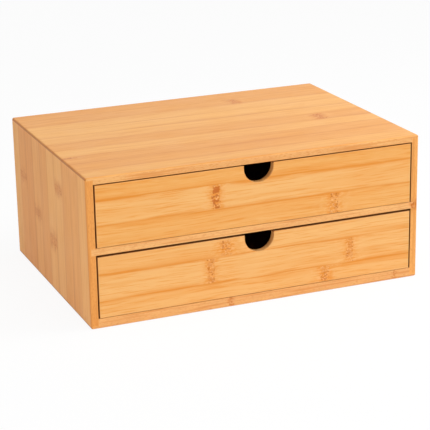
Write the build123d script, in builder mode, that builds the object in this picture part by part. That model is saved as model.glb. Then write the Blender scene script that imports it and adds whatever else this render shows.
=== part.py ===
from build123d import *
import os

# Desktop drawer organizer in bamboo: a case with two inset drawers that pull out towards -Y.
# Millimetres. The origin is at the centre of the base, +X is to the right and +Z is up.
# Each board is a separate solid, drawn where it sits with both drawers shut.

# Case
case_width = 350.0
case_depth = 250.0
case_height = 150.0
side_thickness = 7.5
top_thickness = 7.0
bottom_thickness = 10.0
shelf_thickness = 7.0
shelf_rise = 0.5  # how far the shelf sits above the middle between the top and bottom boards
back_thickness = 4.0
lip_thickness = 2.5  # what the top and bottom boards keep where they lap the sides
housing_depth = 4.5  # how far the shelf and the back panel are let into the boards
arris_radius = 2.0

# Drawers
front_thickness = 6.5
drawer_side_thickness = 7.0
drawer_back_thickness = 7.0
drawer_bottom_thickness = 3.5
side_drop = 4.0  # how far the drawer's sides and back stay below the top of its front
corner_rabbet = 3.5  # how far the drawer's back is let into its sides
groove_depth = 3.0
groove_height = 4.0  # lower edge of the drawer up to its bottom panel
notch_width = 31.0
notch_depth = 18.5
ease_radius = 0.6
mouth_ease = 0.4  # chamfer round the mouth of each bay

# Clearances
running_gap = 0.3  # under a drawer, and behind it when it is shut
side_gap = 1.3
top_gap = 0.9  # over the upper drawer's front; the lower drawer has the same front in a taller bay
panel_play = 0.25  # round the edges of a bottom panel in its grooves
glue_gap = 0.05  # round dowels and brads

# Fasteners
dowel_diameter = 4.0
dowel_length = 20.0
dowel_in_front = 4.0
dowel_pitch = 26.0
dowel_chamfer = 0.5
brad_width = 1.3  # brads are flat wire with a slightly wider head
brad_thickness = 1.0
brad_length = 14.0
brad_head_width = 2.0
brad_head_height = 0.6
brad_pitch = 100.0
brads_per_row = 4
side_brad_pitch = 70.0
shelf_brads = 3
drawer_brad_pitch = 30.0

# Places in the case
inner_width = case_width - 2 * side_thickness
inner_depth = case_depth - back_thickness
mean_bay_height = (case_height - bottom_thickness - shelf_thickness - top_thickness) / 2
lower_bay_height = mean_bay_height + shelf_rise
upper_bay_height = mean_bay_height - shelf_rise
shelf_underside = bottom_thickness + lower_bay_height
shelf_top = shelf_underside + shelf_thickness
back_width = inner_width + 2 * housing_depth
back_low = bottom_thickness - housing_depth
back_high = case_height - top_thickness + housing_depth

# Places in a drawer
drawer_width = inner_width - 2 * side_gap
front_height = upper_bay_height - running_gap - top_gap
side_height = front_height - side_drop
notch_radius = notch_width / 2
joint_y = -case_depth / 2 + front_thickness
rear_y = case_depth / 2 - back_thickness - running_gap
drawer_back_y = rear_y - drawer_back_thickness
drawer_back_width = drawer_width - 2 * (drawer_side_thickness - corner_rabbet)
panel_width = drawer_width - 2 * (drawer_side_thickness - groove_depth + panel_play)
panel_front_y = joint_y - groove_depth + panel_play
panel_rear_y = drawer_back_y + groove_depth - panel_play

# Upright planes that face the front of the case
case_front = Plane.XZ.offset(case_depth / 2)
case_rear = Plane.XZ.offset(-case_depth / 2)
back_panel_face = Plane.XZ.offset(-case_depth / 2 + back_thickness)

os.makedirs("parts", exist_ok=True)


def save(piece, name):
    """Labels a finished piece and writes it to a file of its own."""
    piece.part.label = name
    export_step(piece.part, f"parts/{name}.step")


# Case

# The back panel's outline is also the rabbet that is cut for it in the boards round it.
with BuildSketch(case_rear) as back_outline:
    with Locations((0, (back_low + back_high) / 2)):
        Rectangle(back_width, back_high - back_low)

# The shelf's section is also the housing that is cut for it in the sides.
with BuildSketch(back_panel_face) as shelf_section:
    with Locations((0, (shelf_underside + shelf_top) / 2)):
        Rectangle(inner_width + 2 * housing_depth, shelf_thickness)


# The mouths are the eased edges at the front of the two bays.
with BuildPart() as bay_mouths:
    with BuildSketch(case_front):
        for floor_z, height in ((bottom_thickness, lower_bay_height), (shelf_top, upper_bay_height)):
            with Locations((0, floor_z)):
                Rectangle(inner_width, height, align=(Align.CENTER, Align.MIN))
        offset(amount=mouth_ease, kind=Kind.INTERSECTION)
    extrude(amount=-mouth_ease, taper=45)


def back_brad_sections(width, clearance):
    """Sections of the brads that go into the top, bottom, sides and shelf."""
    size = (width + 2 * clearance, brad_thickness + 2 * clearance)
    with BuildSketch(case_rear) as sections:
        with Locations((0, (back_low + back_high) / 2)):
            with GridLocations(brad_pitch, back_high - back_low - housing_depth, brads_per_row, 2):
                Rectangle(*size)
            with GridLocations(back_width - housing_depth, side_brad_pitch, 2, 2):
                Rectangle(*size)
        with Locations((0, (shelf_underside + shelf_top) / 2)):
            with GridLocations(brad_pitch, 0, shelf_brads, 1):
                Rectangle(*size)
    return sections.sketch


def back_brads(clearance=0.0):
    """Brads through the back panel, or the holes for them with a clearance."""
    with BuildPart() as brads:
        extrude(back_brad_sections(brad_width, clearance), amount=brad_length)
        extrude(back_brad_sections(brad_head_width, clearance), amount=brad_head_height)
    return brads.part


def lapped_board(thickness):
    """A top or bottom board, outer face down, with a lip at each end that laps over a side."""
    with BuildPart() as board:
        with BuildSketch():
            Rectangle(case_width, case_depth)
        extrude(amount=lip_thickness)
        with BuildSketch():
            Rectangle(inner_width, case_depth)
        extrude(amount=thickness)
        outer_edges = board.faces().sort_by(Axis.Z)[0].edges()
        uprights = board.edges().filter_by(Axis.Z).group_by(Axis.X)
        fillet(outer_edges + uprights[0] + uprights[-1], arris_radius)
    return board.part


brad_holes = back_brads(glue_gap)

with BuildPart() as bottom_panel:
    add(lapped_board(bottom_thickness))
    extrude(back_outline.sketch, amount=back_thickness, mode=Mode.SUBTRACT)
    add((bay_mouths.part, brad_holes), mode=Mode.SUBTRACT)
save(bottom_panel, "bottom_panel")

with BuildPart() as top_panel:
    with Locations(Location((0, 0, case_height), (180, 0, 0))):
        add(lapped_board(top_thickness))
    extrude(back_outline.sketch, amount=back_thickness, mode=Mode.SUBTRACT)
    add((bay_mouths.part, brad_holes), mode=Mode.SUBTRACT)
save(top_panel, "top_panel")

with BuildPart() as right_side_panel:
    with BuildSketch(Plane.XY.offset(lip_thickness)) as side_plan:
        with Locations((inner_width / 2, 0)):
            Rectangle(side_thickness, case_depth, align=(Align.MIN, Align.CENTER))
        fillet(side_plan.vertices().group_by(Axis.X)[-1], arris_radius)
    extrude(amount=case_height - 2 * lip_thickness)
    extrude(shelf_section.sketch, amount=inner_depth, mode=Mode.SUBTRACT)
    extrude(back_outline.sketch, amount=back_thickness, mode=Mode.SUBTRACT)
    add((bay_mouths.part, brad_holes), mode=Mode.SUBTRACT)
save(right_side_panel, "right_side_panel")

with BuildPart() as left_side_panel:
    mirror(right_side_panel.part, about=Plane.YZ)
save(left_side_panel, "left_side_panel")

with BuildPart() as middle_shelf:
    extrude(shelf_section.sketch, amount=inner_depth)
    add((bay_mouths.part, brad_holes), mode=Mode.SUBTRACT)
save(middle_shelf, "middle_shelf")

with BuildPart() as back_panel:
    extrude(back_outline.sketch, amount=back_thickness)
    add(brad_holes, mode=Mode.SUBTRACT)
save(back_panel, "back_panel")

with BuildPart() as back_panel_brads:
    add(back_brads())
save(back_panel_brads, "back_panel_brads")


# Drawers


def corner_dowels(diameter, low_z):
    """Dowels that join the front to the ends of the sides, above the bottom panel."""
    dowel_z = low_z + (groove_height + drawer_bottom_thickness + side_height) / 2
    with BuildPart() as dowels:
        with BuildSketch(Plane.XZ.offset(dowel_in_front - joint_y)):
            with Locations((0, dowel_z)):
                with GridLocations(drawer_width - drawer_side_thickness, dowel_pitch, 2, 2):
                    Circle(diameter / 2)
        extrude(amount=-dowel_length)
    return dowels.part


def corner_brads(low_z, clearance=0.0):
    """Brads through the sides into the ends of the back, or the holes for them."""
    with BuildPart() as brads:
        for width, length in ((brad_width, brad_length), (brad_head_width, brad_head_height)):
            with BuildSketch(Plane.YZ.offset(drawer_width / 2)):
                with Locations(((drawer_back_y + rear_y) / 2, low_z + side_height / 2)):
                    with GridLocations(0, drawer_brad_pitch, 1, 2):
                        Rectangle(width + 2 * clearance, brad_thickness + 2 * clearance)
            extrude(amount=-length)
        mirror(about=Plane.YZ)
    return brads.part


def make_drawer(name, floor_z):
    """A drawer that runs on the board whose top is at floor_z."""
    low_z = floor_z + running_gap
    dowel_holes = corner_dowels(dowel_diameter + 2 * glue_gap, low_z)
    corner_brad_holes = corner_brads(low_z, glue_gap)

    with BuildPart() as bottom_groove:
        with BuildSketch(Plane.XY.offset(low_z + groove_height)):
            with Locations((0, (panel_front_y + panel_rear_y) / 2)):
                Rectangle(panel_width + 2 * panel_play, panel_rear_y - panel_front_y + 2 * panel_play)
        extrude(amount=drawer_bottom_thickness)

    with BuildPart() as back:
        with BuildSketch(Plane.XY.offset(low_z)):
            with Locations((0, drawer_back_y)):
                Rectangle(drawer_back_width, drawer_back_thickness, align=(Align.CENTER, Align.MIN))
        extrude(amount=side_height)
        back_blank = back.part
        fillet(back.faces().sort_by(Axis.Z)[-1].edges().filter_by(Axis.X), ease_radius)
        add((bottom_groove.part, corner_brad_holes), mode=Mode.SUBTRACT)
    save(back, f"{name}_back")

    with BuildPart() as right_side:
        with BuildSketch(Plane.XY.offset(low_z)):
            with Locations((drawer_width / 2, joint_y)):
                Rectangle(drawer_side_thickness, rear_y - joint_y, align=(Align.MAX, Align.MIN))
        extrude(amount=side_height)
        fillet(right_side.faces().sort_by(Axis.Z)[-1].edges().filter_by(Axis.Y), ease_radius)
        add((back_blank, bottom_groove.part, dowel_holes, corner_brad_holes), mode=Mode.SUBTRACT)
    save(right_side, f"{name}_right_side")

    with BuildPart() as left_side:
        mirror(right_side.part, about=Plane.YZ)
    save(left_side, f"{name}_left_side")

    with BuildPart() as front:
        with BuildSketch(Plane.XZ.offset(-joint_y)):
            with Locations((0, low_z)):
                Rectangle(drawer_width, front_height, align=(Align.CENTER, Align.MIN))
            with Locations((0, low_z + front_height - notch_depth + notch_radius)):
                Circle(notch_radius, mode=Mode.SUBTRACT)
                Rectangle(notch_width, notch_depth, align=(Align.CENTER, Align.MIN), mode=Mode.SUBTRACT)
        extrude(amount=front_thickness)
        fillet(front.faces().sort_by(Axis.Y)[0].edges(), ease_radius)
        add((bottom_groove.part, dowel_holes), mode=Mode.SUBTRACT)
    save(front, f"{name}_front")

    with BuildPart() as bottom:
        with BuildSketch(Plane.XY.offset(low_z + groove_height)):
            with Locations((0, (panel_front_y + panel_rear_y) / 2)):
                Rectangle(panel_width, panel_rear_y - panel_front_y)
        extrude(amount=drawer_bottom_thickness)
    save(bottom, f"{name}_bottom")

    with BuildPart() as front_dowels:
        add(corner_dowels(dowel_diameter, low_z))
        chamfer(front_dowels.edges().filter_by(GeomType.CIRCLE), dowel_chamfer)
    save(front_dowels, f"{name}_front_dowels")

    with BuildPart() as rear_brads:
        add(corner_brads(low_z))
    save(rear_brads, f"{name}_rear_brads")


make_drawer("lower_drawer", bottom_thickness)
make_drawer("upper_drawer", shelf_top)
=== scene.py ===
"""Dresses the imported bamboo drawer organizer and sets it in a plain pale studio.

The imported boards, panels and dowels keep their shapes and get bamboo, hardwood and steel
finishes. The brads are modelled again with crowned heads and chisel points.
"""

import logging
import math
from dataclasses import dataclass, field
from enum import Enum

import bmesh
import bpy
from mathutils import Euler, Matrix, Vector


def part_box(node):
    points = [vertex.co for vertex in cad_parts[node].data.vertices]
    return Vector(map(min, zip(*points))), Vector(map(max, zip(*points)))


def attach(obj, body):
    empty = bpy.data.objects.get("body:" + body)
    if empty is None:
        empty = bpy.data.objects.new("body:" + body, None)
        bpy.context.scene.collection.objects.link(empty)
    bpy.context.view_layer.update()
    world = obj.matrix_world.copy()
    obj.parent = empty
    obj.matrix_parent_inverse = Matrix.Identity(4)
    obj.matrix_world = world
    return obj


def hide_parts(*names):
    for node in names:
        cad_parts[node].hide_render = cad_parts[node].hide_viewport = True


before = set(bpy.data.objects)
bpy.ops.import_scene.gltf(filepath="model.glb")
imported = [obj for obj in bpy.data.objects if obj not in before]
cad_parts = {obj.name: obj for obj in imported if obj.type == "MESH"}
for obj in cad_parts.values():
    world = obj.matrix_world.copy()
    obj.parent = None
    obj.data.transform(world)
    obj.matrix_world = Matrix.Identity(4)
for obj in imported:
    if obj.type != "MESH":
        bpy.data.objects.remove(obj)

LOG = logging.getLogger("organizer")
MM = 0.001

Socket = bpy.types.NodeSocket
Feed = Socket | float | tuple[float, ...]
Known = dict[str, Feed]
Colour = tuple[float, float, float, float]

NODE_MASKS = ("Mark", "Stain", "Mottle")
NO_TURN = Matrix.Identity(3)
NO_MOVE = (0.0, 0.0, 0.0)
WHITE = (1.0, 1.0, 1.0, 1.0)


def paint(red: int, green: int, blue: int) -> Colour:
    """Turns a colour as a screen shows it into the linear colour that a shader takes.

    Args:
        red: the red part, 0 to 255.
        green: the green part, 0 to 255.
        blue: the blue part, 0 to 255.

    Returns:
        The linear colour with full alpha.
    """
    def linear(part: int) -> float:
        """One part of the colour, made linear."""
        share = part / 255
        return share / 12.92 if share <= 0.04045 else ((share + 0.055) / 1.055) ** 2.4

    return (linear(red), linear(green), linear(blue), 1.0)


# Node trees


class Kind(Enum):
    """What a group's socket carries."""

    NUMBER = "NodeSocketFloat"
    VECTOR = "NodeSocketVector"
    COLOUR = "NodeSocketColor"

    def named(self, *names: str) -> dict[str, "Kind"]:
        """Gives this kind to each of some names."""
        return dict.fromkeys(names, self)


class Sheet:
    """A node tree as it is laid out, with a short method for each kind of node used here."""

    def __init__(self, tree: bpy.types.NodeTree) -> None:
        """Keeps the tree, and counts its nodes so that they stand in columns."""
        self.tree = tree
        self.placed = 0

    def add(self, kind: str, feeds: dict[str | int, Feed] | None = None,
            **settings: object) -> bpy.types.Node:
        """Adds one node.

        Args:
            kind: the node type's name.
            feeds: what its inputs get, by name or by number.
            settings: attributes to set on the node.

        Returns:
            The new node.
        """
        node = self.tree.nodes.new(kind)
        node.location = (210 * (self.placed // 5), -230 * (self.placed % 5))
        self.placed += 1
        for name, value in settings.items():
            setattr(node, name, value)
        for name, value in (feeds or {}).items():
            self.feed(node.inputs[name], value)
        return node

    def feed(self, socket: Socket, value: Feed) -> None:
        """Links a value to a socket, or sets it there where it is plain.

        Args:
            socket: the input that takes the value.
            value: another node's output, or a plain number, vector or colour.
        """
        if isinstance(value, bpy.types.NodeSocket):
            self.tree.links.new(value, socket)
        else:
            socket.default_value = value

    def math(self, operation: str, *values: Feed, clamp: bool = False) -> Socket:
        """Works out one number from values in the order of the Math node's inputs."""
        node = self.add("ShaderNodeMath", dict(enumerate(values)), operation=operation, use_clamp=clamp)
        return node.outputs[0]

    def times(self, first: Feed, second: Feed) -> Socket:
        """Multiplies two numbers."""
        return self.math("MULTIPLY", first, second)

    def scaled(self, value: Feed, factor: float, offset: Feed, clamp: bool = False) -> Socket:
        """Multiplies a number by a factor and adds an offset."""
        return self.math("MULTIPLY_ADD", value, factor, offset, clamp=clamp)

    def larger(self, first: Feed, second: Feed) -> Socket:
        """Gives the larger of two numbers."""
        return self.math("MAXIMUM", first, second)

    def vector(self, operation: str, first: Feed, second: Feed) -> Socket:
        """Works out one vector with a Vector Math node, or the dot product of two."""
        node = self.add("ShaderNodeVectorMath", {0: first, 1: second}, operation=operation)
        return node.outputs["Value" if operation == "DOT_PRODUCT" else "Vector"]

    def split(self, value: Feed) -> tuple[Socket, Socket, Socket]:
        """Gives the three parts of a vector."""
        return tuple(self.add("ShaderNodeSeparateXYZ", {0: value}).outputs)

    def join(self, along: Feed, across: Feed, through: Feed) -> Socket:
        """Makes a vector from three parts."""
        return self.add("ShaderNodeCombineXYZ", {0: along, 1: across, 2: through}).outputs[0]

    def step(self, value: Feed, start: Feed, end: Feed, low: Feed = 0.0, high: Feed = 1.0) -> Socket:
        """Rises smoothly between two limits.

        Args:
            value: the number that is looked up.
            start: where the result is low.
            end: where the result is high.
            low: the result before start.
            high: the result after end.

        Returns:
            The result's socket.
        """
        limits = {"From Min": start, "From Max": end, "To Min": low, "To Max": high}
        node = self.add("ShaderNodeMapRange", {"Value": value} | limits, interpolation_type="SMOOTHSTEP")
        return node.outputs["Result"]

    def mix(self, share: Feed, under: Feed, over: Feed) -> Socket:
        """Lays one colour over another, by the share of it that shows."""
        return self.add("ShaderNodeMix", {0: share, 6: under, 7: over}, data_type="RGBA").outputs[2]

    def noise(self, point: Feed, cells: tuple[float, float, float], detail: float = 2.0,
              roughness: float = 0.5) -> Socket:
        """Soft noise whose cells may be drawn out along the grain.

        Args:
            point: where the noise is read, in millimetres.
            cells: the size of a cell along, across and through the board.
            detail: how many finer layers are added.
            roughness: how strong the finer layers are.

        Returns:
            The noise's socket, mostly between 0.25 and 0.75.
        """
        node = self.add("ShaderNodeTexNoise", {"Vector": self.vector("DIVIDE", point, cells), "Scale": 1.0,
                                               "Detail": detail, "Roughness": roughness})
        return node.outputs["Fac"]

    def scatter(self, point: Feed, cells: tuple[float, float, float]) -> Socket:
        """Gives the distance, in cells, to the nearest of many scattered points, one to each cell."""
        feeds = {"Vector": self.vector("DIVIDE", point, cells), "Scale": 1.0}
        return self.add("ShaderNodeTexVoronoi", feeds, feature="F1").outputs["Distance"]

    def unsigned(self, value: Feed) -> Socket:
        """Drops the signs of a vector's three parts."""
        return self.add("ShaderNodeVectorMath", {0: value}, operation="ABSOLUTE").outputs[0]

    def in_millimetres(self, turn: Matrix, move: Feed) -> Socket:
        """Gives the place on the object in millimetres, turned and then moved.

        Args:
            turn: the turn.
            move: the move after it.

        Returns:
            The place's socket.
        """
        place = self.add("ShaderNodeTexCoord").outputs["Object"]
        feeds = {"Vector": place, "Scale": (1 / MM, 1 / MM, 1 / MM), "Rotation": turn.to_euler("XYZ"),
                 "Location": move}
        return self.add("ShaderNodeMapping", feeds, vector_type="POINT").outputs[0]

    def relief(self, height: Feed, strength: float, depth: float) -> Socket:
        """Turns a height from 0 to 1 into a fine relief, whose depth is in millimetres."""
        node = self.add("ShaderNodeBump", {"Strength": strength, "Distance": depth * MM, "Height": height})
        return node.outputs["Normal"]

    def show(self, shader: Socket, output: str = "ShaderNodeOutputMaterial") -> None:
        """Joins a shader to the output of the tree."""
        self.add(output, {"Surface": shader})

    def place(self, group: bpy.types.NodeTree, known: Known) -> Known:
        """Places a node group, each of whose inputs takes the value that is known by its name.

        Args:
            group: the group.
            known: the values known so far, by name.

        Returns:
            The known values, with the group's results among them.
        """
        node = self.add("ShaderNodeGroup", node_tree=group, label=group.name)
        for socket in node.inputs:
            self.feed(socket, known[socket.name])
        return known | {socket.name: socket for socket in node.outputs}


class Group(Sheet):
    """A shader group as it is laid out, with named sockets."""

    def __init__(self, name: str, inputs: dict[str, Kind], outputs: dict[str, Kind]) -> None:
        """Starts the group.

        Args:
            name: the group's name.
            inputs: the kind of each input, by name.
            outputs: the kind of each output, by name.
        """
        super().__init__(bpy.data.node_groups.new(name, "ShaderNodeTree"))
        for way, sockets in (("INPUT", inputs), ("OUTPUT", outputs)):
            for label, kind in sockets.items():
                self.tree.interface.new_socket(name=label, in_out=way, socket_type=kind.value)
        given = self.add("NodeGroupInput")
        self.known: Known = {name: given.outputs[name] for name in inputs}
        self.result = self.add("NodeGroupOutput")

    def take(self, name: str) -> Socket:
        """Gives one of the group's inputs."""
        return self.known[name]

    def give(self, name: str, value: Feed) -> None:
        """Feeds one of the group's outputs."""
        self.feed(self.result.inputs[name], value)


class WoodGroups:
    """The shader groups that the wood and metal finishes share, each built once."""

    def __init__(self) -> None:
        """Builds every group."""
        self.strips = self.build_strips()
        self.fibres = self.build_fibres()
        self.dashes = self.build_dashes()
        self.scattered = self.build_scattered()
        self.placed = self.build_placed()
        self.ends = self.build_ends()
        self.arris = self.build_arris()
        self.raw_gap_shade = self.build_raw()
        self.colour = self.build_colour()
        self.lacquer = self.build_lacquer()

    def build_strips(self) -> bpy.types.NodeTree:
        """Divides a board into glued strips, each with its own tone and its own stretch of grain.

        Returns:
            The group.
        """
        sheet = Group(
            "Bamboo strips",
            Kind.VECTOR.named("Point") | Kind.NUMBER.named("Strip Width", "Seed"),
            Kind.VECTOR.named("Strip Point") | Kind.NUMBER.named("Tone", "Seam", "Shade"))
        along, across, through = sheet.split(sheet.take("Point"))
        width = sheet.take("Strip Width")
        lane = sheet.math("DIVIDE", across, width)
        number = sheet.math("FLOOR", lane)
        place = sheet.math("SUBTRACT", lane, number)
        draw = sheet.join(number, sheet.take("Seed"), 0.0)
        chance = sheet.add("ShaderNodeTexWhiteNoise", {"Vector": draw}, noise_dimensions="2D")
        first, second, third = sheet.split(chance.outputs["Color"])
        sheet.give("Tone", first)
        jump_along, jump_across, jump_through = 900.0, 260.0, 90.0
        moved = sheet.join(sheet.scaled(second, jump_along, along), sheet.scaled(third, jump_across, across),
                           sheet.scaled(first, jump_through, through))
        sheet.give("Strip Point", moved)
        near = sheet.math("MINIMUM", place, sheet.math("SUBTRACT", 1.0, place))
        gap = sheet.times(near, width)
        patchy = sheet.step(sheet.noise(moved, cells=(80.0, 9.0, 400.0)), 0.36, 0.62, low=0.1)
        seam_rim, seam_core = 1.9, 0.2
        line = sheet.step(gap, seam_rim, seam_core)
        sheet.give("Seam", sheet.times(line, patchy))
        far_edge = sheet.math("GREATER_THAN", third, 0.5)
        turned = sheet.math("ABSOLUTE", sheet.math("SUBTRACT", place, far_edge))
        sheet.give("Shade", sheet.times(sheet.step(turned, 0.3, 0.0), patchy))
        return sheet.tree

    def build_fibres(self) -> bpy.types.NodeTree:
        """Draws the fibres along the grain as broad bands, dark streaks and hairs.

        Returns:
            The group.
        """
        sheet = Group("Wood fibres", Kind.VECTOR.named("Strip Point"),
                      Kind.NUMBER.named("Bands", "Streaks", "Hairs"))
        point = sheet.take("Strip Point")
        sway = sheet.scaled(sheet.noise(point, cells=(150.0, 60.0, 60.0), detail=1.0), 9.0, -4.5)
        swayed = sheet.vector("ADD", point, sheet.join(0.0, sway, 0.0))
        sheet.give("Bands", sheet.step(sheet.noise(swayed, cells=(150.0, 5.0, 5.0), detail=1.5), 0.4, 0.66))
        dark = sheet.noise(swayed, cells=(34.0, 1.2, 1.2), detail=2.5, roughness=0.6)
        sheet.give("Streaks", sheet.step(dark, 0.49, 0.68))
        sheet.give("Hairs", sheet.step(sheet.noise(swayed, cells=(14.0, 0.9, 0.9), detail=2.5), 0.38, 0.64))
        return sheet.tree

    def build_dashes(self) -> bpy.types.NodeTree:
        """Draws what a bamboo node leaves on a strip: brown dots and blots, an amber stain and pale curls.

        Returns:
            The group.
        """
        sheet = Group(
            "Bamboo node dashes",
            Kind.VECTOR.named("Strip Point") | Kind.NUMBER.named("Distance", "Reach", "Strength"),
            Kind.NUMBER.named(*NODE_MASKS))
        point, reach = sheet.take("Strip Point"), sheet.take("Reach")
        bend = sheet.scaled(sheet.noise(point, cells=(500.0, 7.0, 7.0), detail=1.5), 5.0, -2.5)
        away = sheet.math("ADD", sheet.take("Distance"), bend)
        swell = sheet.scaled(sheet.noise(point, cells=(6.0, 3.5, 3.5), detail=1.0), 0.9, -0.45)
        far = sheet.math("ADD", sheet.math("DIVIDE", sheet.math("ABSOLUTE", away), reach), swell)
        core = sheet.step(far, 1.15, 0.95)
        dots = sheet.step(sheet.scatter(point, cells=(2.5, 2.0, 2.0)), 0.5, 0.3)
        patch = sheet.step(sheet.noise(point, cells=(7.0, 4.5, 4.5), detail=1.5), 0.4, 0.56, low=0.25)
        speck = sheet.times(core, sheet.times(dots, patch))
        blot = sheet.step(sheet.noise(point, cells=(7.0, 5.0, 5.0), detail=1.5), 0.42, 0.58)
        blot = sheet.times(sheet.step(far, 1.1, 0.6), blot)
        blot = sheet.times(blot, sheet.take("Strength"))
        deep = sheet.scaled(sheet.take("Strength"), 0.7, 0.58, clamp=True)
        sheet.give("Mark", sheet.larger(sheet.times(speck, deep), blot))
        halo = sheet.step(sheet.noise(point, cells=(12.0, 2.0, 2.0), detail=1.5), 0.36, 0.6)
        halo = sheet.times(sheet.step(far, 3.2, 0.8), halo)
        burnt = sheet.times(sheet.step(far, 2.2, 0.7), sheet.take("Strength"))
        burnt = sheet.larger(burnt, sheet.times(core, 0.7))
        sheet.give("Stain", sheet.larger(halo, burnt))
        glint = sheet.step(sheet.noise(point, cells=(2.0, 2.0, 2.0), detail=1.0), 0.56, 0.64)
        between = sheet.times(core, glint)
        curls = sheet.step(sheet.noise(point, cells=(4.5, 2.4, 2.4)), 0.46, 0.62, high=0.5)
        outer = sheet.times(sheet.step(far, 6.0, 1.2), curls)
        sheet.give("Mottle", sheet.larger(between, outer))
        return sheet.tree

    def build_scattered(self) -> bpy.types.NodeTree:
        """Repeats nodes along every strip at the cane's own spacing.

        Returns:
            The group.
        """
        sheet = Group(
            "Bamboo scattered nodes",
            Kind.VECTOR.named("Strip Point") | Kind.NUMBER.named("Spacing", "Reach", "Strength"),
            Kind.NUMBER.named(*NODE_MASKS))
        along, _, _ = sheet.split(sheet.take("Strip Point"))
        turns = sheet.math("FRACT", sheet.math("DIVIDE", along, sheet.take("Spacing")))
        away = sheet.times(sheet.math("SUBTRACT", turns, 0.5), sheet.take("Spacing"))
        known = sheet.place(self.dashes, sheet.known | {"Distance": away})
        for name in NODE_MASKS:
            sheet.give(name, known[name])
        return sheet.tree

    def build_placed(self) -> bpy.types.NodeTree:
        """Puts one node at a given place on a board.

        Returns:
            The group.
        """
        sheet = Group(
            "Bamboo placed node",
            Kind.VECTOR.named("Point", "Strip Point")
            | Kind.NUMBER.named("Along", "Across", "Reach", "Half Width", "Strength"),
            Kind.NUMBER.named(*NODE_MASKS))
        along, across, _ = sheet.split(sheet.take("Point"))
        away = sheet.math("SUBTRACT", along, sheet.take("Along"))
        known = sheet.place(self.dashes, sheet.known | {"Distance": away})
        aside = sheet.math("ABSOLUTE", sheet.math("SUBTRACT", across, sheet.take("Across")))
        inside = sheet.step(sheet.math("SUBTRACT", aside, sheet.take("Half Width")), 0.4, -0.6)
        for name in NODE_MASKS:
            sheet.give(name, sheet.times(known[name], inside))
        return sheet.tree

    def build_ends(self) -> bpy.types.NodeTree:
        """Finds sawn ends with the dots of cut fibre bundles, and planed edges with their short ticks.

        Returns:
            The group.
        """
        sheet = Group(
            "Bamboo ends and edges",
            Kind.VECTOR.named("Point") | Kind.NUMBER.named("End Facing", "Edge Facing"),
            Kind.NUMBER.named("End", "Dots", "Edge", "Ticks"))
        point = sheet.take("Point")
        end_on = sheet.math("ABSOLUTE", sheet.take("End Facing"))
        sheet.give("End", sheet.step(end_on, 0.3, 0.8))
        edge_on = sheet.math("ABSOLUTE", sheet.take("Edge Facing"))
        sheet.give("Edge", sheet.step(edge_on, 0.55, 0.9))
        bundle = sheet.step(sheet.scatter(point, cells=(60.0, 0.8, 0.6)), 0.5, 0.25)
        cloud = sheet.noise(point, cells=(60.0, 9.0, 2.5))
        sheet.give("Dots", sheet.times(bundle, sheet.step(cloud, 0.35, 0.6, low=0.4)))
        ticks = sheet.step(sheet.noise(point, cells=(3.2, 0.7, 0.7)), 0.5, 0.66, high=0.8)
        layers = sheet.step(sheet.noise(point, cells=(75.0, 400.0, 2.4), detail=1.5), 0.48, 0.64)
        sheet.give("Ticks", sheet.larger(ticks, layers))
        return sheet.tree

    def build_arris(self) -> bpy.types.NodeTree:
        """Finds the handled edges of a board, where the lacquer is rubbed thin; the pale colour laid there
        is partly lacquer wear and partly painted highlight.

        Returns:
            The group.
        """
        sheet = Group(
            "Rubbed arris with painted highlight", Kind.VECTOR.named("Centred Point", "Half Size") | Kind.NUMBER.named("Width"),
            Kind.NUMBER.named("Rub And Highlight"))
        point = sheet.take("Centred Point")
        depth = sheet.vector("SUBTRACT", sheet.take("Half Size"), sheet.unsigned(point))
        one, two, three = sheet.split(depth)
        lowest = sheet.math("MINIMUM", sheet.math("MINIMUM", one, two), three)
        highest = sheet.larger(sheet.larger(one, two), three)
        total = sheet.math("ADD", sheet.math("ADD", one, two), three)
        middle = sheet.math("SUBTRACT", total, sheet.math("ADD", lowest, highest))
        near = sheet.step(middle, sheet.take("Width"), 0.0)
        patchy = sheet.step(sheet.noise(point, cells=(14.0, 14.0, 14.0), detail=3.0), 0.4, 0.62, low=0.35)
        # The pale rub along the arris is partly lacquer wear and partly painted highlight.
        sheet.give("Rub And Highlight", sheet.times(near, patchy))
        return sheet.tree

    def build_raw(self) -> bpy.types.NodeTree:
        """Finds the sawn faces that no lacquer reached, inside the case and round a drawer front, where a
        dark colour is painted as shade so that the gaps round the drawers look dark.

        Returns:
            The group.
        """
        sheet = Group(
            "Sawn face with painted gap shade",
            Kind.VECTOR.named("Normal", "Positive Sides", "Negative Sides", "Centred Point", "Half Size")
            | Kind.NUMBER.named("Rim", "Depth"),
            Kind.NUMBER.named("Raw"))
        normal = sheet.take("Normal")
        ahead = sheet.vector("MULTIPLY", normal, sheet.take("Positive Sides"))
        behind = sheet.vector("MULTIPLY", sheet.vector("MULTIPLY", normal, (-1.0, -1.0, -1.0)),
                              sheet.take("Negative Sides"))
        one, two, three = sheet.split(sheet.vector("MAXIMUM", ahead, behind))
        facing = sheet.larger(sheet.larger(one, two), three)
        from_centre = sheet.unsigned(sheet.take("Centred Point"))
        side, _, height = sheet.split(sheet.vector("SUBTRACT", sheet.take("Half Size"), from_centre))
        rim = sheet.take("Rim")
        edge = sheet.step(sheet.math("MINIMUM", side, height), sheet.math("ADD", rim, 0.5), rim)
        _, inward, _ = sheet.split(sheet.vector("ADD", sheet.take("Half Size"),
                                                sheet.take("Centred Point")))
        behind_front = sheet.step(sheet.math("SUBTRACT", inward, sheet.take("Depth")), 0.0, 0.6)
        edge = sheet.times(edge, behind_front)
        # This mask marks the unlacquered faces, whose dark colour is painted shade for the gaps round the
        # drawers.
        sheet.give("Raw", sheet.times(sheet.step(facing, 0.45, 0.9), edge))
        return sheet.tree

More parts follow.
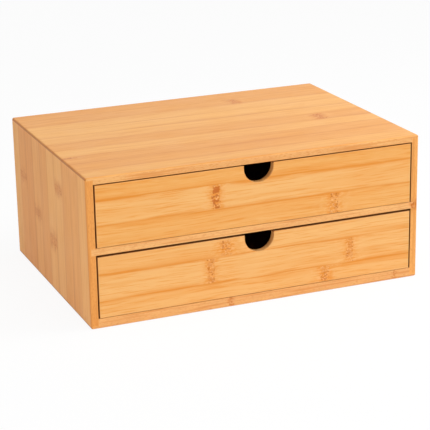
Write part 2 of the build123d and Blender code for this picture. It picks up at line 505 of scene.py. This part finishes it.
    def build_colour(self) -> bpy.types.NodeTree:
        """Lays the colours of a board over each other, from its ground to its rubbed edges, which are partly
        painted highlight, and last the dark raw colour, which is painted shade for the gaps round the
        drawers.

        Returns:
            The group.
        """
        masks = ("Tone", "Bands", "Streaks", "Hairs", "Seam", "Shade", *NODE_MASKS, "End", "Dots", "Edge",
                 "Ticks", "Rub And Highlight", "Raw")
        colours = Kind.COLOUR.named("Pale", "Body", "Amber", "Brown", "Edge Color", "Cut Color", "Gap Shade Color")
        sheet = Group("Bamboo colour", colours | Kind.NUMBER.named("Figure", *masks),
                      Kind.COLOUR.named("Color"))
        pale, body, amber, brown, edge, cut, raw_gap_shade = (sheet.take(name) for name in colours)
        mask = {name: sheet.take(name) for name in masks}
        for name in ("Hairs", "Bands", "Streaks", "Shade", "Seam"):
            mask[name] = sheet.times(mask[name], sheet.take("Figure"))
        mask["Ticks"] = sheet.times(mask["Edge"], mask["Ticks"])
        dotted_cut = sheet.mix(sheet.times(mask["Dots"], 0.6), cut, brown)
        ground = sheet.mix(mask["Tone"], body, pale)
        # The rubbed-edge layer is partly lacquer wear and partly painted highlight. The raw layer, laid
        # last, is painted shade for the gaps round the drawers.
        for name, over, share in (
                ("Hairs", pale, 0.35), ("Bands", amber, 0.3), ("Streaks", amber, 0.6), ("Shade", amber, 0.5),
                ("Seam", amber, 0.85), ("Seam", brown, 0.12), ("Edge", edge, 0.6), ("Ticks", amber, 0.5),
                ("Stain", amber, 0.8), ("Mottle", edge, 0.7), ("Mark", brown, 0.9),
                ("End", dotted_cut, 0.85), ("Rub And Highlight", pale, 0.35), ("Raw", raw_gap_shade, 0.84)):
            ground = sheet.mix(sheet.times(mask[name], share), ground, over)
        sheet.give("Color", ground)
        return sheet.tree

    def build_lacquer(self) -> bpy.types.NodeTree:
        """Gives the thin satin lacquer its uneven gloss and its faint relief over the fibres.

        Returns:
            The group.
        """
        sheet = Group(
            "Satin lacquer",
            Kind.VECTOR.named("Point")
            | Kind.NUMBER.named("Roughness", "Streaks", "Hairs", "Seam", "Mark", "Rub And Highlight", "Raw"),
            Kind.NUMBER.named("Roughness", "Height"))
        point = sheet.take("Point")
        cloud = sheet.scaled(sheet.noise(point, cells=(40.0, 22.0, 22.0)), 0.16, -0.08)
        rough = sheet.math("ADD", sheet.take("Roughness"), cloud)
        for name, share in (("Streaks", 0.06), ("Rub And Highlight", 0.1)):
            rough = sheet.scaled(sheet.take(name), share, rough)
        sheet.give("Roughness", sheet.scaled(sheet.take("Raw"), 0.5, rough, clamp=True))
        height = sheet.times(sheet.noise(point, cells=(1.6, 1.2, 1.2)), 0.25)
        for name, share in (("Streaks", -0.25), ("Hairs", -0.2), ("Seam", -0.5), ("Mark", -0.35)):
            height = sheet.scaled(sheet.take(name), share, height)
        sheet.give("Height", height)
        return sheet.tree


# Finishes


class Grain(Enum):
    """How the grain lies in a board, as the axes along, across and through it."""

    WIDE_UPRIGHT = ((1, 0, 0), (0, 0, -1), (0, 1, 0))
    WIDE_FLAT = ((1, 0, 0), (0, 1, 0), (0, 0, 1))
    UPRIGHT = ((0, 0, 1), (0, 1, 0), (-1, 0, 0))
    DEEP_UPRIGHT = ((0, 1, 0), (0, 0, 1), (1, 0, 0))

    @property
    def turn(self) -> Matrix:
        """The turn that lays the board's grain along X and its width along Y."""
        return Matrix(self.value)


class RawShadedFaces(Enum):
    """Which faces of a board stay unlacquered and take the dark colour that is painted as shade in the gaps
    round the drawers.

    Each names the sides towards +X, +Y and +Z, then those towards -X, -Y and -Z. It says how far in from
    the board's outline they may lie, and how far behind its front they start, in millimetres.
    """

    NONE = ((0, 0, 0), (0, 0, 0), 1000.0, 0.0)
    UPPER = ((0, 0, 1), (0, 0, 0), 1000.0, 1.0)
    UNDER = ((0, 0, 0), (0, 0, 1), 1000.0, 1.0)
    BOTH = ((0, 0, 1), (0, 0, 1), 1000.0, 1.0)
    RIGHT = ((1, 0, 0), (0, 0, 0), 1000.0, 0.4)
    LEFT = ((0, 0, 0), (1, 0, 0), 1000.0, 0.4)
    EDGES = ((1, 0, 1), (1, 0, 1), 1.0, -1.0)


def blank_material(name: str) -> tuple[bpy.types.Material, Sheet]:
    """Makes a material with nothing in it.

    Args:
        name: the material's name.

    Returns:
        The material and the sheet of its node tree.
    """
    made = bpy.data.materials.new(name)
    made.use_nodes = True
    made.node_tree.nodes.clear()
    return made, Sheet(made.node_tree)


@dataclass(frozen=True)
class Palette:
    """The colours of a bamboo board: its ground, its fibres, its nodes, its sawn ends, and the dark colour
    painted as shade on its unlacquered faces.
    """

    pale: Colour = paint(241, 184, 112)
    body: Colour = paint(236, 167, 84)
    amber: Colour = paint(230, 142, 36)
    brown: Colour = paint(194, 98, 4)
    edge: Colour = paint(242, 188, 123)
    cut: Colour = paint(218, 156, 92)
    # Painted shade: the dark colour of a drawer front's raw edges, which makes the gaps round the front look
    # dark.
    raw_gap_shade: Colour = paint(142, 80, 34)


@dataclass(frozen=True)
class Node:
    """A cane node seen on a board: its place, and how far it reaches, in millimetres."""

    along: float
    across: float
    half_width: float
    reach: float = 4.0
    strength: float = 0.3


@dataclass(frozen=True)
class BambooFinish:
    """Lacquered bamboo board, glued up from strips.

    The strips are counted from first_seam, which is measured across the board from the row frame's
    origin, as the places of its nodes are.
    """

    name: str
    grain: Grain
    first_seam: float
    seed: float
    strip_width: float = 25.0
    palette: Palette = Palette()
    node_spacing: float = 330.0
    nodes: tuple[Node, ...] = ()
    roughness: float = 0.42
    specular: float = 0.32
    figure: float = 1.0
    # Width of the pale edge band, which is partly lacquer wear and partly painted highlight.
    rub_highlight_width: float = 1.6
    coat: float = 0.04
    coat_roughness: float = 0.3
    relief: float = 0.35
    relief_depth: float = 0.1
    scattered_reach: float = 4.5
    scattered_strength: float = 0.25
    # The faces that take the painted gap shade.
    raw_gap_shade: RawShadedFaces = RawShadedFaces.NONE

    def material(self, groups: WoodGroups, low: Vector, high: Vector) -> bpy.types.Material:
        """Builds the material for one board.

        Args:
            groups: the shared shader groups.
            low: the board's lowest corner.
            high: the board's highest corner.

        Returns:
            The material.
        """
        made, sheet = blank_material(self.name)
        turn = self.grain.turn
        palette = self.palette
        normal = sheet.add("ShaderNodeTexCoord").outputs["Normal"]
        positive, negative, rim, depth = self.raw_gap_shade.value
        known = {
            "Point": sheet.in_millimetres(turn, (0.0, -self.first_seam, 0.0)),
            "Centred Point": sheet.in_millimetres(NO_TURN, -(low + high) / 2 / MM),
            "Half Size": tuple((high - low) / 2 / MM), "Normal": normal,
            "End Facing": sheet.vector("DOT_PRODUCT", normal, tuple(turn[0])),
            "Edge Facing": sheet.vector("DOT_PRODUCT", normal, tuple(turn[1])),
            "Strip Width": self.strip_width, "Seed": self.seed, "Width": self.rub_highlight_width,
            "Positive Sides": positive, "Negative Sides": negative, "Rim": rim, "Depth": depth,
            "Pale": palette.pale, "Body": palette.body, "Amber": palette.amber, "Brown": palette.brown,
            "Edge Color": palette.edge, "Cut Color": palette.cut, "Gap Shade Color": palette.raw_gap_shade,
            "Figure": self.figure, "Roughness": self.roughness}
        for group in (groups.strips, groups.fibres, groups.ends, groups.arris, groups.raw_gap_shade):
            known = sheet.place(group, known)
        known = self.lay_nodes(sheet, groups, known)
        known = sheet.place(groups.lacquer, sheet.place(groups.colour, known))
        shader = sheet.add("ShaderNodeBsdfPrincipled", {
            "Base Color": known["Color"], "Roughness": known["Roughness"],
            "Normal": sheet.relief(known["Height"], self.relief, self.relief_depth),
            "Specular IOR Level": self.specular, "Coat Weight": self.coat,
            "Coat Roughness": self.coat_roughness})
        sheet.show(shader.outputs[0])
        return made

    def lay_nodes(self, sheet: Sheet, groups: WoodGroups, known: Known) -> Known:
        """Lays the cane nodes on the board, placed ones where it has any and scattered ones elsewhere.

        Args:
            sheet: the material's sheet.
            groups: the shared shader groups.
            known: the values known so far, by name.

        Returns:
            The known values, with the marks, the stains and the mottled zones among them.
        """
        if not self.nodes:
            return sheet.place(groups.scattered, known | {
                "Spacing": self.node_spacing, "Reach": self.scattered_reach,
                "Strength": self.scattered_strength})
        laid: Known = {}
        for node in self.nodes:
            found = sheet.place(groups.placed, known | {
                "Along": node.along, "Across": node.across - self.first_seam, "Reach": node.reach,
                "Half Width": node.half_width, "Strength": node.strength})
            for name in NODE_MASKS:
                laid[name] = sheet.larger(laid[name], found[name]) if name in laid else found[name]
        return known | laid


@dataclass(frozen=True)
class DowelFinish:
    """Pale hardwood dowel rod, unfinished."""

    name: str = "hardwood_dowel_rod"
    ground: Colour = paint(226, 196, 150)
    grain: Colour = paint(196, 156, 104)
    roughness: tuple[float, float] = (0.6, 0.75)
    relief: float = 0.4
    relief_depth: float = 0.1

    def material(self, groups: WoodGroups) -> bpy.types.Material:
        """Builds the material, with the rod's fibres along its length.

        Args:
            groups: the shared shader groups.

        Returns:
            The material.
        """
        made, sheet = blank_material(self.name)
        point = sheet.in_millimetres(Grain.DEEP_UPRIGHT.turn, NO_MOVE)
        known = sheet.place(groups.fibres, {"Strip Point": point})
        streaks, hairs = known["Streaks"], known["Hairs"]
        share = sheet.scaled(streaks, 0.5, sheet.times(hairs, 0.3), clamp=True)
        shader = sheet.add("ShaderNodeBsdfPrincipled", {
            "Base Color": sheet.mix(share, self.ground, self.grain),
            "Roughness": sheet.step(hairs, 0.0, 1.0, *self.roughness),
            "Normal": sheet.relief(hairs, self.relief, self.relief_depth)})
        sheet.show(shader.outputs[0])
        return made


@dataclass(frozen=True)
class SteelFinish:
    """Bright drawn steel with a faint dull film."""

    name: str = "bright_steel_wire"
    bright: Colour = paint(196, 197, 200)
    dull: Colour = paint(148, 146, 142)
    roughness: tuple[float, float] = (0.28, 0.45)
    relief: float = 0.2
    relief_depth: float = 0.02

    def material(self) -> bpy.types.Material:
        """Builds the material, with draw marks and a patchy film.

        Returns:
            The material.
        """
        made, sheet = blank_material(self.name)
        point = sheet.in_millimetres(NO_TURN, NO_MOVE)
        film = sheet.step(sheet.noise(point, cells=(1.5, 1.5, 1.5), detail=3.0), 0.4, 0.6)
        marks = sheet.noise(point, cells=(0.12, 3.0, 0.12), detail=1.0)
        shader = sheet.add("ShaderNodeBsdfPrincipled", {
            "Metallic": 1.0, "Base Color": sheet.mix(film, self.bright, self.dull),
            "Roughness": sheet.step(film, 0.0, 1.0, *self.roughness),
            "Normal": sheet.relief(marks, self.relief, self.relief_depth)})
        sheet.show(shader.outputs[0])
        return made


# The organizer


def dress(node: str, material: bpy.types.Material) -> None:
    """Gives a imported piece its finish.

    Args:
        node: the piece's name in the frame.
        material: the finish, which takes every material slot of the piece.
    """
    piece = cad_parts[node]
    if not piece.material_slots:
        piece.data.materials.append(material)
    for place in piece.material_slots:
        place.material = material
    LOG.info("%s: %s", node, material.name)


class Stock:
    """What the pieces share: the shader groups, the dowel rod and the steel wire."""

    def __init__(self) -> None:
        """Builds the groups and both finishes."""
        self.groups = WoodGroups()
        self.steel = SteelFinish().material()
        self.dowel = DowelFinish().material(self.groups)

    def dress_board(self, node: str, finish: BambooFinish) -> None:
        """Gives a packed board its bamboo finish, fitted to the board's own box."""
        dress(node, finish.material(self.groups, *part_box(node)))


@dataclass
class Brad:
    """A flat-wire brad, in millimetres: its shank with a chisel point, and its low crowned head."""

    shank_width: float = 1.3
    thickness: float = 1.0
    length: float = 14.0
    point_length: float = 1.8
    point_size: tuple[float, float] = (0.7, 0.2)
    head_width: float = 2.0
    head_height: float = 0.6
    crown: float = 0.12
    crown_inset: float = 0.28
    edge_round: float = 0.05

    @staticmethod
    def pick_face(mesh: bpy.types.Mesh, upwards: bool) -> None:
        """Selects the face at the very top or bottom of the mesh in edit mode, and nothing else.

        Args:
            mesh: the mesh being edited.
            upwards: whether the top face is picked.
        """
        bpy.ops.mesh.select_mode(type="FACE")
        bpy.ops.mesh.select_all(action="DESELECT")
        work = bmesh.from_edit_mesh(mesh)
        flat = [face for face in work.faces if abs(face.normal.z) > 0.9]
        heights = {face: face.calc_center_median().z for face in flat}
        chosen = max(flat, key=heights.get) if upwards else min(flat, key=heights.get)
        chosen.select_set(True)
        bmesh.update_edit_mesh(mesh)

    def model(self, name: str) -> bpy.types.Object:
        """Models one brad that stands on its point, with the crown of its head at the origin.

        Args:
            name: the brad's name.

        Returns:
            The brad.
        """
        shank_top, shank_end = -self.head_height * MM, -(self.length - self.point_length) * MM
        bpy.ops.object.select_all(action="DESELECT")
        bpy.ops.mesh.primitive_cube_add(
            size=1.0, location=(0.0, 0.0, (shank_top + shank_end) / 2),
            scale=(self.shank_width * MM, self.thickness * MM, shank_top - shank_end))
        brad = bpy.context.object
        brad.name = name
        bpy.ops.object.transform_apply(location=True, rotation=True, scale=True)
        bpy.ops.object.mode_set(mode="EDIT")
        self.pick_face(brad.data, True)
        bpy.ops.mesh.extrude_region_move(TRANSFORM_OT_translate={"value": (0.0, 0.0, 0.0)})
        bpy.ops.transform.resize(value=(self.head_width / self.shank_width, 1.0, 1.0),
                                 center_override=(0.0, 0.0, shank_top))
        bpy.ops.mesh.extrude_region_move(
            TRANSFORM_OT_translate={"value": (0.0, 0.0, (self.head_height - self.crown) * MM)})
        bpy.ops.mesh.inset(thickness=self.crown_inset * MM)
        bpy.ops.transform.translate(value=(0.0, 0.0, self.crown * MM))
        self.pick_face(brad.data, False)
        bpy.ops.mesh.extrude_region_move(
            TRANSFORM_OT_translate={"value": (0.0, 0.0, -self.point_length * MM)})
        bpy.ops.transform.resize(
            value=(self.point_size[0] / self.shank_width, self.point_size[1] / self.thickness, 1.0),
            center_override=(0.0, 0.0, -self.length * MM))
        bpy.ops.object.mode_set(mode="OBJECT")
        rounded = brad.modifiers.new("rounded_edges", "BEVEL")
        rounded.width, rounded.segments, rounded.limit_method = self.edge_round * MM, 2, "ANGLE"
        bpy.ops.object.modifier_apply(modifier=rounded.name)
        bpy.ops.object.shade_smooth_by_angle(angle=math.radians(40))
        return brad

    def drive(self, node: str, body: str, places: list[Matrix], steel: bpy.types.Material) -> None:
        """Sets copies of one brad in their holes and joins them into the piece that stands for a node.

        Args:
            node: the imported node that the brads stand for.
            body: the body that they ride on.
            places: where each brad goes, from the place in which it was modelled.
            steel: the finish of the wire.
        """
        first = self.model(f"{node}_crowned")
        brads = [first]
        for _ in places[1:]:
            bpy.ops.object.select_all(action="DESELECT")
            first.select_set(True)
            bpy.context.view_layer.objects.active = first
            bpy.ops.object.duplicate(linked=False)
            brads.append(bpy.context.object)
        for brad, place in zip(brads, places):
            brad.matrix_world = place
        for brad in brads:
            brad.select_set(True)
        bpy.context.view_layer.objects.active = first
        bpy.ops.object.join()
        bpy.ops.object.transform_apply(location=True, rotation=True, scale=True)
        first.data.materials.append(steel)
        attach(first, body)
        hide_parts(node)
        LOG.info("%s: %d brads, %s", first.name, len(places), steel.name)


def brad_place(x: float, y: float, z: float, head: tuple[int, int, int],
               wide: tuple[int, int, int]) -> Matrix:
    """Works out where a brad goes.

    Args:
        x: the crown's place to the right, in millimetres.
        y: its place to the back.
        z: its place above the floor.
        head: the way that the head faces.
        wide: the way in which the wire is wide.

    Returns:
        The move from the origin, head up, to that place.
    """
    up, side = Vector(head), Vector(wide)
    turn = Matrix((side, up.cross(side), up)).transposed()
    return Matrix.Translation(Vector((x, y, z)) * MM) @ turn.to_4x4()


@dataclass
class Cabinet:
    """The case: four boards, the shelf between the drawers and the back panel, held by brads.

    Its unlacquered inner faces are painted dark as shade, so that the gaps round the drawers look as dark as
    they should.
    """

    stock: Stock
    back_y: float = 125.0
    row_heights: tuple[float, float] = (7.75, 145.25)
    row_places: tuple[float, ...] = (-150.0, -50.0, 50.0, 150.0)
    shelf_height: float = 77.0
    shelf_places: tuple[float, ...] = (-100.0, 0.0, 100.0)
    side_place: float = 169.75
    side_heights: tuple[float, float] = (41.5, 111.5)
    brad: Brad = field(default_factory=Brad)
    # The raw colours of both case palettes are painted shade for the faces inside the bays.
    palette: Palette = Palette(
        pale=paint(248, 188, 108), body=paint(227, 146, 64), amber=paint(213, 122, 38),
        cut=paint(184, 102, 32), raw_gap_shade=paint(64, 30, 12))
    side_palette: Palette = Palette(
        pale=paint(245, 180, 102), body=paint(231, 150, 71), amber=paint(208, 124, 52),
        brown=paint(208, 120, 20), edge=paint(240, 167, 86), cut=paint(192, 124, 64),
        raw_gap_shade=paint(64, 30, 12))

    def drive_brads(self) -> None:
        """Drives the brads through the back panel into the boards, the shelf and the sides."""
        spots = [(x, z) for z in self.row_heights for x in self.row_places]
        spots += [(x, self.shelf_height) for x in self.shelf_places]
        spots += [(side * self.side_place, z) for side in (-1, 1) for z in self.side_heights]
        places = [brad_place(x, self.back_y, z, (0, 1, 0), (1, 0, 0)) for x, z in spots]
        self.brad.drive("back_panel_brads", "cabinet", places, self.stock.steel)

    def dress_boards(self) -> None:
        """Dresses the boards of the case and its back panel."""
        flat = {"grain": Grain.WIDE_FLAT, "palette": self.palette}
        side = {"grain": Grain.UPRIGHT, "palette": self.side_palette, "figure": 0.45, "specular": 0.2,
                "roughness": 0.5}
        finishes = {
            "top_panel": BambooFinish(
                "bamboo_top_board", first_seam=-100.0, seed=3.0, figure=0.55, specular=0.2,
                raw_gap_shade=RawShadedFaces.UNDER, **flat,
                nodes=(Node(-171.0, -53.0, 2.5, 7.0, 0.6), Node(62.0, 84.0, 11.0),
                       Node(118.0, -15.0, 11.0))),
            "bottom_panel": BambooFinish(
                "bamboo_bottom_board", first_seam=-118.0, seed=11.0, raw_gap_shade=RawShadedFaces.UPPER, **flat,
                nodes=(Node(-31.0, -125.0, 12.0, 1.8, 0.0), Node(150.0, -125.0, 12.0, 1.4, 0.0))),
            "left_side_panel": BambooFinish(
                "bamboo_left_side_board", first_seam=-98.5, seed=2.0, raw_gap_shade=RawShadedFaces.RIGHT, **side,
                nodes=(Node(96.0, 89.0, 12.0, 3.5, 0.1), Node(69.0, 41.0, 12.0, 4.0, 0.2),
                       Node(55.0, -11.0, 12.0, 5.0, 0.1), Node(115.0, -36.0, 12.0, 4.0, 0.1))),
            "right_side_panel": BambooFinish(
                "bamboo_right_side_board", first_seam=-89.5, seed=23.0, raw_gap_shade=RawShadedFaces.LEFT, **side,
                nodes=(Node(77.0, -125.0, 14.0, 3.5, 1.0), Node(40.0, -60.0, 11.0, 5.0),
                       Node(108.0, 20.0, 11.0, 5.0))),
            "middle_shelf": BambooFinish(
                "bamboo_shelf_board", first_seam=-112.0, seed=31.0, raw_gap_shade=RawShadedFaces.BOTH, **flat,
                nodes=(Node(170.0, -125.0, 12.0, 2.2, 1.0), Node(90.0, 30.0, 11.0))),
            "back_panel": BambooFinish(
                "bamboo_back_panel", Grain.WIDE_UPRIGHT, first_seam=-140.0, seed=17.0, roughness=0.55)}
        for node, finish in finishes.items():
            self.stock.dress_board(node, finish)

    def build(self) -> None:
        """Dresses the case."""
        self.dress_boards()
        self.drive_brads()


@dataclass
class Drawer:
    """One drawer: a front with a finger notch, two sides, a back and a thin bottom."""

    stock: Stock
    name: str
    front_seam: float
    front_strip: float
    seed: float
    front_nodes: tuple[Node, ...]
    brad_heights: tuple[float, float]
    side_face: float = 166.2
    brad_y: float = 117.2
    seam_shift: float = 8.0
    box_roughness: float = 0.58
    brad: Brad = field(default_factory=Brad)

    def drive_brads(self) -> None:
        """Drives the brads through the rear of the sides into the ends of the back."""
        places = [brad_place(side * self.side_face, self.brad_y, z, (side, 0, 0), (0, side, 0))
                  for side in (-1, 1) for z in self.brad_heights]
        self.brad.drive(f"{self.name}_rear_brads", self.name, places, self.stock.steel)

    def dress_front(self) -> None:
        """Dresses the front, whose seams and nodes lie where the photograph shows them."""
        # The front's raw edges take the painted gap shade.
        self.stock.dress_board(f"{self.name}_front", BambooFinish(
            f"bamboo_{self.name}_front", Grain.WIDE_UPRIGHT, self.front_seam, self.seed,
            strip_width=self.front_strip, nodes=self.front_nodes, raw_gap_shade=RawShadedFaces.EDGES))

    def dress_box(self) -> None:
        """Dresses the sides, back and bottom, which are sanded and only sealed."""
        pieces = (("left_side", Grain.DEEP_UPRIGHT), ("right_side", Grain.DEEP_UPRIGHT),
                  ("back", Grain.WIDE_UPRIGHT), ("bottom", Grain.WIDE_FLAT))
        for step, (piece, grain) in enumerate(pieces, start=1):
            self.stock.dress_board(f"{self.name}_{piece}", BambooFinish(
                f"bamboo_{self.name}_{piece}", grain, self.seam_shift * step, self.seed + step,
                roughness=self.box_roughness))

    def build(self) -> None:
        """Dresses the whole drawer."""
        self.dress_front()
        self.dress_box()
        dress(f"{self.name}_front_dowels", self.stock.dowel)
        self.drive_brads()


# The studio


@dataclass(frozen=True)
class Lamp:
    """A large soft lamp: its place and width in metres and its power in watts."""

    name: str
    place: tuple[float, float, float]
    width: float
    power: float

    def build(self, aim: Vector) -> None:
        """Hangs the lamp and turns it to a point.

        Args:
            aim: the point that the lamp faces.
        """
        lamp = bpy.data.lights.new(self.name, "AREA")
        lamp.shape, lamp.size, lamp.energy = "DISK", self.width, self.power
        stand = bpy.data.objects.new(self.name, lamp)
        bpy.context.scene.collection.objects.link(stand)
        stand.location = self.place
        stand.rotation_euler = (aim - stand.location).to_track_quat("-Z", "Y").to_euler()
        LOG.info("%s: %.1f W", self.name, self.power)


@dataclass
class Studio:
    """Plain pale floor, soft light and the camera at the photograph's viewing angle."""

    camera_place: tuple[float, float, float] = (-0.59616, -1.47828, 0.57367)
    camera_turn: tuple[float, float, float] = (71.9217, 1.0246, -22.4418)
    lens: float = 134.039
    floor_radius: float = 9.0
    floor_glow: float = 0.9
    ambient: float = 0.336
    paper: Colour = (0.95, 0.95, 0.95, 1.0)
    ceiling_strength: float = 1.0
    ceiling_spread: float = 50.0
    ceiling_place: tuple[float, float, float] = (0.2, -0.3, 2.2)
    aim: tuple[float, float, float] = (0.0, 0.0, 0.07)
    lamps: tuple[Lamp, ...] = (Lamp("key_lamp", (0.7, -1.6, 0.42), 0.7, 2.9),
                               Lamp("fill_lamp", (-1.2, -1.15, 0.35), 0.7, 6.05),
                               Lamp("top_lamp", (0.9, -0.35, 1.0), 0.8, 8.4))

    @staticmethod
    def seen_directly(sheet: Sheet) -> Socket:
        """Is 1 for the camera and for what it sees in gloss or glass, and 0 for the light itself.

        Args:
            sheet: the sheet that the value is used on.

        Returns:
            The value's socket.
        """
        rays = sheet.add("ShaderNodeLightPath")
        shine = sheet.larger(rays.outputs["Is Glossy Ray"], rays.outputs["Is Transmission Ray"])
        return sheet.larger(rays.outputs["Is Camera Ray"], shine)

    def build_floor(self) -> None:
        """Makes the floor, which looks white and keeps the shadow."""
        bpy.ops.object.select_all(action="DESELECT")
        bpy.ops.mesh.primitive_circle_add(vertices=128, radius=self.floor_radius, fill_type="NGON")
        floor = bpy.context.object
        floor.name = "studio_floor"
        paper, sheet = blank_material("studio_paper")
        matt = sheet.add("ShaderNodeBsdfDiffuse", {"Color": self.paper})
        glow = sheet.add("ShaderNodeEmission")
        share = sheet.times(self.seen_directly(sheet), self.floor_glow)
        both = sheet.add("ShaderNodeMixShader", {0: share, 1: matt.outputs[0], 2: glow.outputs[0]})
        sheet.show(both.outputs[0])
        floor.data.materials.append(paper)
        LOG.info("studio_floor: %.1f m across", 2 * self.floor_radius)

    def build_light(self) -> None:
        """Lights the scene evenly from all round, and hangs the lamps."""
        world = bpy.data.worlds.new("studio_world")
        world.use_nodes = True
        world.node_tree.nodes.clear()
        sheet = Sheet(world.node_tree)
        strength = sheet.scaled(self.seen_directly(sheet), 1.0 - self.ambient, self.ambient)
        sky = sheet.add("ShaderNodeBackground", {"Color": WHITE, "Strength": strength})
        sheet.show(sky.outputs[0], "ShaderNodeOutputWorld")
        bpy.context.scene.world = world
        ceiling = bpy.data.lights.new("ceiling_light", "SUN")
        ceiling.energy, ceiling.angle = self.ceiling_strength, math.radians(self.ceiling_spread)
        hung = bpy.data.objects.new("ceiling_light", ceiling)
        bpy.context.scene.collection.objects.link(hung)
        hung.location = self.ceiling_place
        hung.rotation_euler = (-hung.location).to_track_quat("-Z", "Y").to_euler()
        LOG.info("ceiling_light: %.1f W per square metre", self.ceiling_strength)
        for lamp in self.lamps:
            lamp.build(Vector(self.aim))

    def build_camera(self) -> None:
        """Sets up the camera that shows the object as photographed."""
        data = bpy.data.cameras.new("camera")
        data.lens, data.sensor_width = self.lens, 36.0
        data.clip_start, data.clip_end = 0.1, 40.0
        camera = bpy.data.objects.new("camera", data)
        bpy.context.scene.collection.objects.link(camera)
        camera.location = self.camera_place
        camera.rotation_euler = Euler([math.radians(angle) for angle in self.camera_turn], "XYZ")
        bpy.context.scene.camera = camera
        LOG.info("camera: %.1f mm lens", self.lens)

    def build(self) -> None:
        """Makes the camera, the floor and the light, and sets the plain view transform."""
        bpy.context.scene.view_settings.view_transform = "Standard"
        self.build_camera()
        self.build_floor()
        self.build_light()


def main() -> None:
    """Builds the studio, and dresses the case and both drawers."""
    logging.basicConfig(level=logging.INFO, format="%(message)s")
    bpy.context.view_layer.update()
    Studio().build()
    stock = Stock()
    Cabinet(stock).build()
    Drawer(
        stock, "upper_drawer", front_seam=-127.0, front_strip=24.5, seed=4.0, brad_heights=(94.45, 124.45),
        front_nodes=(Node(-45.0, -115.0, 12.0, 4.0, 1.0), Node(81.0, -91.5, 10.5, 4.5, 0.35))).build()
    Drawer(
        stock, "lower_drawer", front_seam=-53.3, front_strip=26.2, seed=10.0, brad_heights=(23.95, 53.95),
        front_nodes=(Node(-35.5, -62.0, 8.0, 5.5, 0.2), Node(-52.0, -40.5, 12.5, 3.8, 0.3),
                     Node(97.5, -40.0, 12.5, 4.0, 0.3), Node(71.0, -19.0, 8.0, 4.5, 0.2))).build()


if __name__ == "__main__":
    main()
